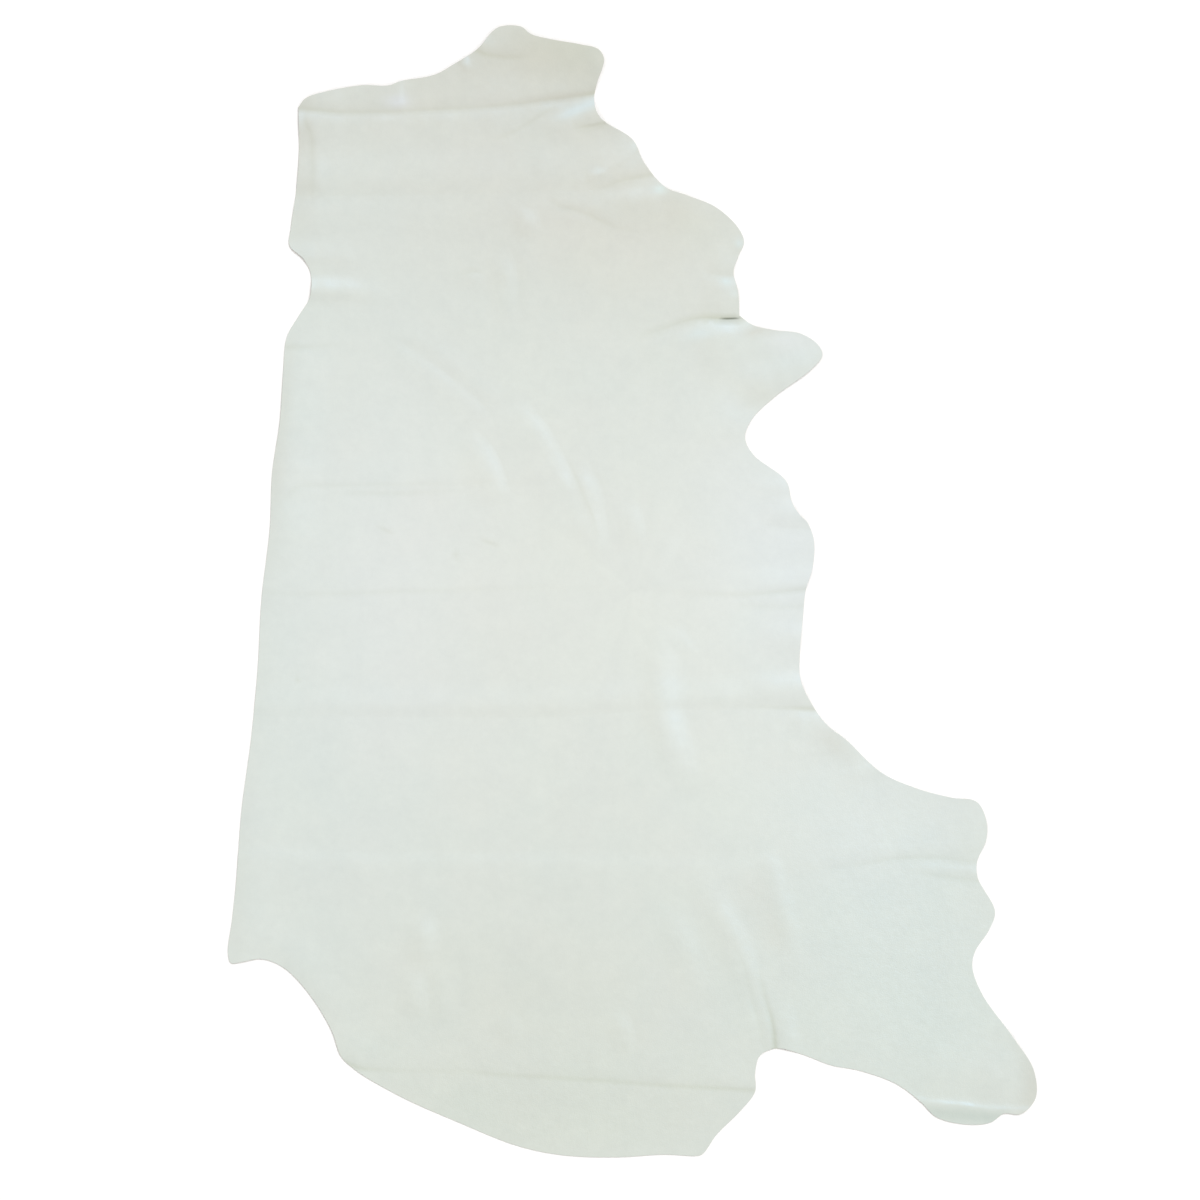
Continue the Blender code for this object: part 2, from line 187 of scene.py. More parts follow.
around = np.roll(outline, -1, axis=0)
flat_area = abs((outline[:, 0] * around[:, 1] - outline[:, 1] * around[:, 0]).sum()) / 2 * SCALE.prod()
print("outline:", len(outline), "points, flat area", round(flat_area, 3), "square metres")

# %% [markdown]
# ## The folds
# Two kinds of fold show on the real hide. A crease is a soft trough, pressed in when the
# hide was folded: the leather swells a little on one side of it or on both. A ridge is a
# low roll that never lay flat. Both could come from a cloth simulation, but then nobody
# chooses where they go, so each one is a row of a table.
#
# Lifts and heights are in millimetres, widths in centimetres, and left and right are those
# of someone who walks along the path. A crease's swelling fades out again over its `fade`,
# and the number after that says how dark the painted shade along its line is. The third
# number of a landmark is the fold's strength there, which takes it up from nothing and back down.

# %% Creases
Crease = namedtuple("Crease", "name left_lift right_lift left right fade mark path")
CREASES = (
    Crease("neck crease", 1.2, 1.5, 1.6, 2, 9, 0.22, (
        (-65.3, 92.1, 1.4), (-62.6, 91.9, 1.4), (-56, 91.3, 1.3), (-48.2, 91.3, 1.1),
        (-40.6, 91.6, 0.9), (-25.4, 92.4, 0.9), (-17.8, 93.3, 0.9), (-10.2, 94.3, 1.1),
        (-6.6, 94.9, 2.3), (-3.7, 95.4, 2.5),
    )),
    Crease("tab crease", 1.3, 0.1, 1.4, 0.8, 4, 0.30, (
        (-29.9, 103.2, 1), (-28.4, 102.4, 1), (-25.4, 101.8, 0.8), (-22.3, 101.7, 0.5),
        (-19.3, 101.8, 0),
    )),
    Crease("neck wrinkle", 0.4, 0.3, 0.7, 0.7, 4, 0.12, (
        (-26.9, 85.3, 0), (-25, 86.3, 0.6), (-21.4, 88, 1), (-17.2, 90.6, 1),
        (-15.1, 92.2, 0.5), (-14.2, 92.9, 0),
    )),
    Crease("throat tuck", 0.9, 0.7, 0.5, 0.5, 6, 0.37, (
        (-11.3, 88.1, 0), (-9, 88.4, 0.8), (-7.1, 88.7, 1), (-5.4, 89.1, 1.1), (-3.7, 89.4, 1.1),
    )),
    Crease("back pleat", 0.3, 0.3, 1, 1, 3, 0.20, (
        (-62, 91.6, 0), (-62, 89.3, 1), (-60.9, 86.8, 1), (-60.7, 82.1, 0.8),
        (-60.7, 75.4, 0.4), (-60.7, 73, 0),
    )),
    Crease("withers crease", 2, 0.9, 3, 3, 10, 0.05, (
        (-66, 75.5, 1), (-61.1, 75.4, 1), (-47.8, 75.5, 0.7), (-30.7, 75.7, 0.4),
        (-13.6, 76.2, 0.4), (1.6, 76.8, 0.3), (5.8, 77.2, 0),
    )),
    Crease("shoulder fold", 1.3, 0.9, 1.8, 3, 10, 0.20, (
        (-8.6, 76.6, 0), (-5, 77, 0.7), (-2.6, 78, 1), (1, 78.8, 1.2), (4.5, 79.5, 1.5),
        (8.1, 80.3, 1.6),
    )),
    Crease("neck fleck", 0.2, 0.5, 0.8, 2, 3, 0.04, (
        (-8.8, 80.6, 0), (-8.5, 78.3, 1), (-8.5, 76, 0),
    )),
    Crease("withers wrinkle", 0.6, 0.2, 1.1, 0.8, 4, 0.15, (
        (-16.2, 74.5, 0), (-13.8, 73.4, 0.8), (-10.5, 72.6, 1), (-6.6, 70.9, 0.8),
        (-3.5, 69.5, 0.5), (3.5, 68.2, 0),
    )),
    Crease("withers step 1", 0, 1.9, 0.6, 3, 6, 0, (
        (-17.4, 73.3, 0), (-17.2, 70.7, 1), (-16.8, 68, 0),
    )),
    Crease("withers step 2", 0.3, 1.3, 1.4, 2.4, 6, 0, (
        (-22.7, 65.4, 0), (-21.8, 61.6, 1), (-21.4, 56.4, 0.8), (-21, 52.6, 0.3),
        (-21, 46.9, 0),
    )),
    Crease("lobe crease", 1.2, 1.7, 1.8, 2.2, 8, 0.05, (
        (13.4, 60.6, 0), (17.2, 60.2, 0.8), (22.1, 60, 1),
    )),
    Crease("back notch crease", 0.9, 0.9, 2.8, 2.6, 7, 0.05, (
        (-63.7, 60.8, 1), (-58.2, 60.8, 0.9), (-52.6, 61.1, 0.3), (-47.4, 61.7, 0),
    )),
    Crease("back tuck", 0.3, 0.1, 0.9, 0.9, 4, 0.18, (
        (-67.5, 46.5, 1), (-63, 46.5, 0.9), (-59.2, 46.7, 0.6), (-53.1, 47.1, 0),
    )),
    Crease("foreleg pleat", 2, 3.3, 2.4, 3, 14, 0.70, (
        (0.1, 48.2, 0), (4.5, 49.6, 0.25), (7.3, 50.6, 0.35), (10.2, 51.6, 0.5), (13.2, 52.2, 0.7),
        (15.9, 52.1, 1), (18.3, 52, 1.1), (20.5, 52.1, 0.7), (22.5, 52.2, 0.5),
    )),
    Crease("shoulder wrinkle", 0, 1.7, 0.8, 2.5, 12, 0, (
        (-20.4, 37.7, 0), (-18.5, 34.9, 0.8), (-16.4, 32.5, 1), (-14.3, 29.2, 1),
        (-12.2, 24.9, 1), (-10.4, 20.5, 1), (-9, 16.6, 0.7), (-7.6, 12.5, 0.4), (-6.6, 8.7, 0),
    )),
    Crease("shoulder thread line", 0.15, 0.05, 0.6, 0.6, 3, 0.12, (
        (-12.4, 26.5, 0), (-11, 23, 1), (-9, 18, 1), (-7.2, 13.6, 1), (-6.3, 8.7, 0),
    )),
    Crease("shoulder wrinkle 2", 0.2, 1.5, 1, 3, 8, 0, (
        (-8.6, 25.5, 0), (-6.6, 22.2, 0.8), (-5, 17.9, 1), (-4.8, 15.2, 1), (-4.1, 10.3, 0.7),
        (-3.5, 6.1, 0),
    )),
    Crease("shoulder wrinkle 3", 0.1, 1.5, 1, 2.2, 6, 0, (
        (1.6, 17.5, 0), (2.6, 13.7, 1), (2.9, 8.4, 0),
    )),
    Crease("rib wrinkle", 0.1, 2, 0.8, 2.6, 9, 0, (
        (-30.5, 31.5, 0), (-27.8, 29.5, 0.7), (-25.7, 26.8, 1), (-24.4, 23.8, 1),
        (-23.3, 20.5, 0.8), (-22.5, 17.3, 0),
    )),
    Crease("rib arc", 0.6, 0.55, 1.8, 1.6, 6, 0, (
        (-44.6, 47.8, 0), (-43.3, 47.1, 0.8), (-39.1, 44.4, 1), (-33, 39.8, 1),
        (-28.5, 35.8, 0.8), (-26.8, 33.8, 0),
    )),
    Crease("chest crease", 0.3, 0.1, 1.4, 1, 6, 0.12, (
        (-66.6, 16.9, 0.2), (-65.1, 18.8, 0.7), (-63, 20, 1), (-56, 20.2, 1),
        (-47.8, 20.4, 1), (-39, 20.5, 0.8), (-30.7, 20.7, 0.4), (-13.6, 20.9, 0.1),
        (1.6, 21.1, 0),
    )),
    Crease("chest crease 2", 0.2, 0, 0.9, 0.9, 4, 0.12, (
        (-57, 18.7, 0), (-52, 18.8, 1), (-45, 18.7, 1), (-37, 19.1, 0.7), (-31, 19.5, 0),
    )),
    Crease("rib dimple 1", 0.3, 0.1, 0.6, 0.6, 2, 0.20, (
        (-48.9, 12.7, 0), (-47, 11.8, 1), (-44.7, 10.8, 0),
    )),
    Crease("rib dimple 2", 0.3, 0.1, 0.6, 0.6, 2, 0.24, (
        (-29.2, 10.1, 0), (-26.9, 9.3, 1), (-24.6, 8.4, 0),
    )),
    Crease("belly wave crease", 3, 0.5, 2.3, 3.4, 8, 0.08, (
        (24, 12.7, 0), (29.2, 12.2, 0.8), (36.6, 11.8, 1),
    )),
    Crease("belly crease", 0.15, 0.05, 0.9, 0.9, 7, 0.13, (
        (-71, 0.2, 0.4), (-64.9, -0.4, 0.6), (-57.3, -0.3, 0.8), (-50.8, -0.2, 1),
        (-45.7, 0.1, 1), (-39.6, 0.2, 0.9), (-25.4, 0.7, 0.5), (-17.2, 0.8, 0.4), (-6, 0.6, 0.2),
        (9.2, 0, 0.3), (16.1, -0.4, 1), (22.1, -0.5, 1.6), (28.2, 0, 2.2), (33.2, 0.5, 2.4),
        (35.8, 0.5, 2.4),
    )),
    Crease("belly crease 2", 0.5, 0, 1.8, 0.9, 5, 0.16, (
        (19.1, -2.9, 0), (22.5, -2.7, 0.6), (27.3, -2.9, 0.8), (32.4, -2.7, 1), (35.1, -2.7, 1),
    )),
    Crease("middle crease", 1.4, 0, 2.2, 1, 7, 0, (
        (-74.4, -23.6, 0.4), (-63, -23.9, 0.7), (-54.8, -23.9, 1), (-40.2, -23.9, 1),
        (-27.3, -24, 1), (-13.6, -23.8, 0.9), (5.2, -22.6, 0.9), (16.8, -22.4, 1),
        (26.3, -22.3, 1.3), (29.7, -22.4, 1.4), (37.3, -22.9, 1.6),
    )),
    Crease("middle crease 2", 0.2, 0.8, 0.6, 2.4, 7, 0.22, (
        (19.9, -21.9, 0), (25.4, -22, 0.5), (30.1, -22.1, 1), (33.2, -22.2, 1.8),
        (37.7, -22.4, 2.0),
    )),
    Crease("hip crease", 0.35, 0.1, 1, 1, 6, 0.13, (
        (27.5, -54.1, 0), (37.3, -52.7, 0.2), (44.4, -51.7, 0.5), (50.1, -50.7, 1),
        (57.7, -50.6, 1.2), (65.8, -51.4, 1), (69.3, -51.8, 1),
    )),
    Crease("flank tuck", 0.1, 0.1, 0.7, 0.9, 4, 0.15, (
        (53.3, -52.6, 0), (58.2, -54, 0.7), (62.4, -54.5, 1), (66.2, -55.1, 1.2),
        (69.3, -55.3, 1.2),
    )),
    Crease("thigh crease", 0.6, 1.1, 1, 0.8, 5, 0.34, (
        (23.4, -70.5, 0), (24.9, -75.1, 0.5), (25.7, -78.3, 0.7), (26.5, -80.9, 1),
        (27.1, -83.8, 1.3), (27.3, -89, 1.5),
    )),
    Crease("thigh crease 2", 0.3, 0.5, 1, 1.2, 5, 0.07, (
        (15.8, -61.5, 0), (18, -65.6, 0.3), (20.8, -69.5, 0.6), (21.7, -72.4, 1),
        (22.5, -75.8, 1.1), (23.3, -78.9, 1.1), (24.4, -82.7, 1.2), (25.3, -87, 1),
    )),
    Crease("butt wrinkle 1", 0.3, 2, 1.6, 3.6, 9, 0, (
        (-37.5, -60, 0), (-36, -64.2, 1), (-36, -68, 0.9), (-36.8, -71.4, 0),
    )),
    Crease("butt wrinkle 2", 1.4, 2.2, 2.2, 3, 7, 0, (
        (-39.2, -71.4, 0), (-38.5, -74.9, 1), (-38.5, -78.1, 1), (-39, -81.3, 0),
    )),
    Crease("butt wrinkle 3", 0.1, 2, 0.8, 2.4, 6, 0, (
        (-1, -78.7, 0), (0.5, -82.3, 1), (1, -86.1, 0.8), (0.3, -88.9, 0),
    )),
    Crease("butt wrinkle 4", 0.2, 1.2, 1, 2.8, 6, 0, (
        (-22.3, -78.3, 0), (-20.8, -81.3, 1), (-20.6, -84.7, 0.8), (-21.2, -87.4, 0),
    )),
    Crease("butt crease", 0.5, 0.15, 1.4, 1.4, 8, 0.22, (
        (-57.7, -87.9, 1.8), (-54.2, -89.6, 1.8), (-51.4, -90.6, 1.4), (-47.8, -90.9, 0.8),
        (-41.5, -91.1, 0.4), (-30.5, -91.3, 0.5), (-25.7, -91.8, 0.8), (-16.4, -92.3, 0.9),
        (-4.8, -93, 1), (6.7, -93.9, 1.1), (16.8, -94.4, 1.3), (23.1, -94.8, 1.4),
        (26.7, -95, 1.4),
    )),
    Crease("back fleck", 0.1, 0, 0.5, 0.5, 2, 0.25, (
        (-64.2, -16.6, 0), (-63.4, -16.8, 1), (-62.6, -17, 0),
    )),
    Crease("rib fleck", 0.1, 0, 0.5, 0.5, 2, 0.25, (
        (-34.4, 7.3, 0), (-33.4, 7.1, 1), (-32.4, 7.4, 0),
    )),
    Crease("withers fleck", 0, 0.8, 0.5, 0.9, 2.5, 0.20, (
        (-34.2, 59.8, 0), (-31.8, 60.5, 0.7), (-30.2, 60.9, 1), (-27.8, 60.6, 0),
    )),
    Crease("shank crease", 1.3, 0.2, 4.5, 1, 12, 0.05, (
        (51.4, -93.6, 0), (55.6, -95.1, 0.8), (59.2, -95.5, 1), (63.2, -95.7, 1),
        (66.2, -96.2, 1), (71, -97, 0.9), (78.8, -97.5, 0.6),
    )),
)
print("creases:", len(CREASES))

# %% Ridges
Ridge = namedtuple("Ridge", "name height left right path")
RIDGES = (
    Ridge("neck lift", 7, 4, 11, (
        (-66, 95, 0.4), (-44, 98, 0.5), (-25, 108.3, 0.8), (-13.6, 106.8, 0.9),
        (-2.2, 103.7, 1),
    )),
    Ridge("neck nick", 1.6, 1.4, 1.2, (
        (-32.7, 102.4, 1), (-31.7, 100.5, 0.8), (-30.6, 98.6, 0),
    )),
    Ridge("neck pinch", 1, 1.2, 3, (
        (-44.2, 98, 0.6), (-44.2, 95, 0.9), (-44, 92.7, 1), (-43.8, 91, 0),
    )),
    Ridge("throat ridge", 3.4, 2, 6, (
        (-16.8, 87.8, 0), (-12.6, 89.6, 0.6), (-9.8, 90.7, 0.9), (-6.9, 91.4, 1.1),
        (-3.7, 91.9, 1.2),
    )),
    Ridge("shoulder thread", 1.3, 0.6, 0.8, (
        (-8.4, 78.5, 0), (-6.5, 79.4, 1.3), (-4.8, 80.4, 0.7), (-2.7, 81.7, 0.8), (1.1, 84.3, 1),
        (3.3, 86.1, 1),
    )),
    Ridge("shoulder roll", 2.1, 2.7, 8, (
        (-8, 72.8, 0), (-3, 73.8, 0.6), (1, 74.4, 0.8), (5, 75, 1.1), (9, 75.8, 1.2),
    )),
    Ridge("back notch ridge 1", 1.2, 3.2, 2.2, (
        (-64.1, 63.9, 1), (-57.3, 64.1, 0.6), (-52.3, 64.3, 0),
    )),
    Ridge("back notch ridge 2", 3.2, 2.9, 2.4, (
        (-63.7, 57.2, 1), (-55.4, 57.2, 0.8), (-49, 56.7, 0.2), (-44, 56, 0),
    )),
    Ridge("lobe wave 1", 0.7, 1.6, 1.4, (
        (18.4, 65.4, 0), (21, 65.5, 0.8), (23.3, 65.5, 1.2),
    )),
    Ridge("lobe wave 2", 0.6, 1.4, 1.4, (
        (17, 55.9, 0), (21, 55.9, 1),
    )),
    Ridge("foreleg ridge", 2.5, 4, 5.5, (
        (18.3, 40.3, 0), (24.4, 40.3, 0.9), (30.1, 41.8, 1), (37.7, 44.5, 1),
    )),
    Ridge("elbow swell", 1, 4.5, 4, (
        (11.9, 30, 0), (17.8, 31.2, 0.8), (23.3, 30.8, 1),
    )),
    Ridge("belly wave 1", 1, 2.6, 2.4, (
        (22.1, 19.4, 0), (26.3, 19.9, 0.8), (32.8, 19.6, 1),
    )),
    Ridge("belly wave 2", 1.6, 4.4, 1.4, (
        (20, 1.2, 0), (27.3, 1.5, 0.7), (35.8, 1.7, 1),
    )),
    Ridge("belly wave 3", 2, 3.4, 5, (
        (23.5, -8.7, 0), (29.2, -8.6, 0.8), (34.7, -8.4, 1),
    )),
    Ridge("belly wave 4", 2.1, 3.4, 3.4, (
        (21.6, -17.9, 0), (26.3, -17.9, 0.9), (34.7, -17.9, 1.1),
    )),
    Ridge("belly wave 5", 1.6, 4.2, 5, (
        (25.4, -31, 0), (32, -29.1, 0.8), (38.9, -27.4, 1),
    )),
    Ridge("belly wave 6", 1.2, 1.8, 2.8, (
        (38.1, -36.9, 0), (43.4, -34.2, 1), (48, -33.1, 1),
    )),
    Ridge("loin ridge", 2.8, 4.2, 4.4, (
        (7.2, -6.8, 0), (6, -11, 0.6), (5.5, -16.7, 0.9), (5.7, -21.7, 1), (7, -26.2, 1.2),
        (8.8, -31.9, 1.1), (10.4, -38.4, 0),
    )),
    Ridge("loin thread", 0.9, 1.8, 3.2, (
        (7.5, -6.1, 0), (9.6, -9.2, 1), (12, -12.4, 0),
    )),
    Ridge("flank swell", 0.9, 9, 2.2, (
        (24.8, -51.7, 0), (37.7, -50.9, 0.7), (49.1, -49.4, 1), (58.6, -48.3, 1),
        (69.3, -47.5, 1),
    )),
    Ridge("flank roll", 0.75, 1.6, 1.6, (
        (53, -52.2, 0), (58, -52.7, 0.8), (65, -53.3, 1.2), (69.5, -53.6, 1.3),
    )),
    Ridge("hip ridge", 1.3, 2.6, 9, (
        (-76.3, -50.7, 0.6), (-63, -51.2, 1), (-51.6, -51.6, 1), (-40.2, -51.8, 0.8),
        (-28.8, -51.8, 1), (-15.5, -51.8, 0.8), (1.6, -52.4, 0.6), (16.8, -52.7, 0.5),
        (29, -52.7, 0),
    )),
    Ridge("thigh fold", 1.5, 2.5, 3, (
        (24.9, -49, 0), (26.5, -52.1, 0.8), (27.8, -56.6, 1), (29.1, -61.4, 1),
        (30.4, -67.1, 0.6), (31.6, -72.8, 0),
    )),
    Ridge("flank ridge", 2.8, 3.6, 4.6, (
        (13, -53.5, 0), (14.9, -57.5, 0.5), (17.1, -61.7, 0.9), (19.6, -66.4, 1),
        (21.3, -70.6, 0.9), (22.6, -75, 0.4), (23.6, -77.8, 0),
    )),
    Ridge("flank ridge 2", 1.7, 3.3, 5, (
        (6.5, -59.5, 0), (9.4, -66.1, 1), (11.5, -71.8, 0.9), (13.8, -78.5, 0),
    )),
    Ridge("thigh corner", 1.6, 2.4, 3, (
        (28.8, -77.5, 0), (29.7, -83.2, 1), (29.7, -88.9, 1),
    )),
    Ridge("butt swell", 1, 3, 4, (
        (-39.2, -57.8, 0), (-39.6, -63.3, 1), (-40, -68, 1), (-39.4, -73.7, 0),
    )),
    Ridge("shank lip", 1.5, 1.1, 2.2, (
        (52, -95.6, 0), (55.6, -97, 0.7), (59.2, -97.5, 1), (63.2, -97.8, 1),
        (66.2, -98.3, 1), (71, -98.6, 0.8), (78.8, -98.8, 0.5),
    )),
    Ridge("shank edge", 3, 5, 6, (
        (64.2, -95.3, 0), (69, -91.1, 0.8), (71.8, -86, 1), (74.1, -81.2, 1),
    )),
    Ridge("butt roll", 1.5, 7, 3.4, (
        (-71.3, -63.8, 0.2), (-63.7, -70.3, 1), (-58, -78.3, 0.9), (-54.1, -86.6, 0.8),
    )),
    Ridge("back roll", 2.8, 8, 3.2, (
        (-62.6, 48.3, 0), (-64.1, 41.6, 0.7), (-64.9, 32.7, 1), (-65.5, 22.4, 1),
        (-66, 13.7, 1), (-66.6, 6.1, 0.5), (-67.2, -1.5, 0.3), (-68.3, -14.1, 0.2),
        (-69.6, -27.2, 0.2), (-71.3, -41.6, 0.3), (-72.5, -54.7, 0.5), (-73.1, -64.2, 0.6),
        (-74, -71.4, 0.6),
    )),
)
print("ridges:", len(RIDGES))

# %% [markdown]
# ## From folds to heights
# A point gets its height from every fold near it. For one fold, the nearest place on its
# path tells how far away the point is, on which side, and how strong the fold is there.
# Looking only at points within a fold's reach keeps this quick.

# %% Where a point lies beside a path
PATH_STEP = 1.2  # cm, between the places of a path that a point is measured from


def beside(points, path):
    """Each point's strength, distance along the path, and distance to the left of it."""
    start, run = path[:-1, :2], np.diff(path[:, :2], axis=0)
    lengths = np.linalg.norm(run, axis=1)
    offset = points[:, None, :] - start
    share = np.clip((offset * run).sum(axis=2) / lengths**2, 0, 1)
    away = offset - share[:, :, None] * run
    distance = np.linalg.norm(away, axis=2)
    nearest = distance.argmin(axis=1)
    rows = np.arange(len(points))
    share, away = share[rows, nearest], away[rows, nearest]
    side = run[nearest, 0] * away[:, 1] - run[nearest, 1] * away[:, 0]
    strength = path[nearest, 2] * (1 - share) + path[nearest + 1, 2] * share
    travelled = np.concatenate([[0], np.cumsum(lengths)])
    along = travelled[nearest] + share * lengths[nearest]
    return np.maximum(strength, 0), along, np.where(side >= 0, 1, -1) * distance[rows, nearest]


def reach_of(fold):
    return fold.fade if isinstance(fold, Crease) else max(fold.left, fold.right)


def near(points, path, reach):
    """Which points lie within `reach` of the path's box."""
    low, high = path[:, :2].min(axis=0) - reach, path[:, :2].max(axis=0) + reach
    return np.flatnonzero(((points > low) & (points < high)).all(axis=1))


# %% [markdown]
# No real fold keeps one height all along: soft leather rises and sinks every few
# centimetres. Two slow waves along the path, each with its own seeded start, give every
# fold its own unevenness and the same one in each run. A tall fold wavers no more than a
# low one, or its long side would look dented.

# %% The height of one fold
WAVER = ((11, 0.24), (4.3, 0.14))  # (length in cm, share of the height)
WAVER_HEIGHT = 0.8  # mm, the most that those shares are taken of


def highest(fold):
    return fold.height if isinstance(fold, Ridge) else max(fold.left_lift, fold.right_lift)


def waver(along, fold, seed):
    starts = np.random.default_rng(seed).uniform(0, 2 * math.pi, len(WAVER))
    turns = [share * np.sin(2 * math.pi * along / length + start)
             for (length, share), start in zip(WAVER, starts)]
    return 1 + sum(turns) * min(1, WAVER_HEIGHT / highest(fold))


def half_wave(share):
    """1 at the crest and 0 at the foot, soft at both."""
    return np.cos(np.clip(share, 0, 1) * math.pi / 2) ** 2


def fold_height(fold, across):
    """Height of a fold in millimetres at distances across it, for a strength of 1."""
    away = np.abs(across)
    width = np.where(across >= 0, fold.left, fold.right)
    if isinstance(fold, Ridge):
        return fold.height * half_wave(away / width)
    lift = np.where(across >= 0, fold.left_lift, fold.right_lift)
    return lift * half_wave(1 - away / width) * half_wave((away - width) / (fold.fade - width))


# %% [markdown]
# Between its folds the hide isn't a mirror either. A few faint waves in chance directions,
# a tenth of a millimetre high, are enough to make a broad light swim over it.

# %% The lie of the whole sheet
SWELLS = ((46, 0.12), (25, 0.08), (14, 0.04), (8, 0.015))  # (length in cm, height in mm)
WAVES_EACH = 5
SWELL_SEED = 11


def slow_swell(points):
    dice = np.random.default_rng(SWELL_SEED)
    total = np.zeros(len(points))
    for length, height in SWELLS:
        for heading, start in dice.uniform(0, 2 * math.pi, (WAVES_EACH, 2)):
            across = points @ (math.cos(heading), math.sin(heading))
            total += height * (1 + np.sin(2 * math.pi * across / length + start)) / 2
    return total


def relief(points):
    """Height of the sheet's underside in millimetres at points in centimetres."""
    total = slow_swell(points)
    for seed, fold in enumerate(CREASES + RIDGES):
        path = smooth_path(fold.path, PATH_STEP)
        found = near(points, path, reach_of(fold))
        strength, along, across = beside(points[found], path)
        total[found] += strength * waver(along, fold, seed) * fold_height(fold, across)
    return total - total.min()


# %% [markdown]
# ## Points for the sheet
# A grid of squares would cut every fold at a slant. Points laid in rows beside each fold,
# with plain staggered rows between the folds, show the same folds with far fewer of them.
# No two may lie too close, or the triangles between them turn to slivers.

# %% Rows beside the folds
FOLD_STEP = 0.75  # cm, along a fold
RIDGE_ROWS = (0, 1 / 3, 2 / 3, 1)  # shares of the fold's width
CREASE_ROWS = (0, 1 / 2, 1)
NEAR_LINE = 0.28  # cm, the first row beside a crease line


def fold_rows(fold):
    """Rows of points beside a fold, the inner ones first."""
    path = smooth_path(fold.path, FOLD_STEP)[:, :2]
    direction = np.gradient(path, axis=0)
    direction /= np.linalg.norm(direction, axis=1)[:, None]
    to_the_left = np.column_stack([-direction[:, 1], direction[:, 0]])
    shares, nearest = (RIDGE_ROWS, 0) if isinstance(fold, Ridge) else (CREASE_ROWS, NEAR_LINE)
    offsets = [side * max(nearest, share * width)
               for share in shares for side, width in ((1, fold.left), (-1, fold.right))]
    return np.vstack([path + offset * to_the_left for offset in offsets])


# %% Keeping points apart
def clear_of(points, others, gap):
    """Those points that lie at least `gap` from all the others."""
    tree = KDTree(len(others))
    for i, (x, y) in enumerate(others):
        tree.insert((x, y, 0), i)
    tree.balance()
    return points[[tree.find((x, y, 0))[2] >= gap for x, y in points]]


def thinned(points, gap):
    """The points in turn, without those nearer than `gap` to one that was kept before."""
    kept, cells = [], {}
    for x, y in points:
        column, row = math.floor(x / gap), math.floor(y / gap)
        near_cells = [(column + i, row + j) for i in (-1, 0, 1) for j in (-1, 0, 1)]
        others = [other for cell in near_cells for other in cells.get(cell, ())]
        if all(math.dist((x, y), other) >= gap for other in others):
            cells.setdefault((column, row), []).append((x, y))
            kept.append((x, y))
    return np.array(kept)


def staggered_rows(step):
    """Rows of points over the whole plan, every second row shifted by half a step."""
    rows = []
    for i, y in enumerate(np.arange(LOW[1], HIGH[1], step * math.sqrt(3) / 2)):
        x = np.arange(LOW[0] + (i % 2) * step / 2, HIGH[0], step)
        rows.append(np.column_stack([x, np.full(len(x), y)]))
    return np.vstack(rows)


# %% All points
FLAT_STEP = 0.96  # cm, between points where the leather lies flat
ROW_GAP = 0.27  # cm, the least between two points of the rows
FLAT_GAP = 0.62  # cm, from a point of the flat to one of the rows
EDGE_GAP = 0.32  # cm, from the trimmed edge

crease_paths = [smooth_path(crease.path, FOLD_STEP)[:, :2] for crease in CREASES]
crease_points = np.vstack(crease_paths)
row_points = np.vstack([fold_rows(fold) for fold in CREASES + RIDGES])
row_points = clear_of(row_points, outline, EDGE_GAP)
row_points = thinned(clear_of(row_points, crease_points, ROW_GAP), ROW_GAP)
flat_points = clear_of(staggered_rows(FLAT_STEP), np.vstack([row_points, crease_points]), FLAT_GAP)
flat_points = clear_of(flat_points, outline, FLAT_GAP)
plan_points = np.vstack([outline, crease_points, row_points, flat_points])
print("points:", len(outline), "on the edge,", len(crease_points), "on the creases,",
      len(row_points), "in rows,", len(flat_points), "on the flat")

# %% [markdown]
# ## Filling the outline
# The outline and the crease lines are handed to the triangle maker as edges it has to
# keep, so that a crease is a row of real edges and stays crisp. It leaves out all that
# lies outside the outline.

# %% Triangles between the points
SAME_POINT = 0.001  # cm
INSIDE_ONLY = 1


def filled(points, crease_lengths):
    """The plan's corners and faces."""
    kept_edges, first = [], len(outline)
    for length in crease_lengths:
        kept_edges += [(i, i + 1) for i in range(first, first + length - 1)]
        first += length
    places = [Vector(point) for point in points]
    rim = [list(range(len(outline)))]
    result = delaunay_2d_cdt(places, kept_edges, rim, INSIDE_ONLY, SAME_POINT)
    return np.array([tuple(corner) for corner in result[0]]), result[2]


plan, faces = filled(plan_points, [len(path) for path in crease_paths])
heights = relief(plan)
print("plan:", len(plan), "corners,", len(faces), "faces, highest", round(heights.max(), 1), "mm")

# %% [markdown]
# ## The sheet gets its thickness
# The flat plan is raised by the folds, and the whole sheet is then extruded straight up,
# as the leather is as thick on a fold as beside it. A Solidify modifier does nearly the
# same, but at the narrow tucks its two sides would meet, and straight up they can't.

# %% Raise and extrude
TOO_SHORT = 0.8 * MM  # sides shorter than this are closed up

bpy.ops.object.select_all(action="DESELECT")
mesh = bpy.data.meshes.new("hide_leather")
mesh.from_pydata(np.column_stack([placed(plan), heights * MM]).tolist(), [], faces)
hide = bpy.data.objects.new("hide_leather", mesh)
bpy.context.scene.collection.objects.link(hide)
bpy.context.view_layer.objects.active = hide
hide.select_set(True)

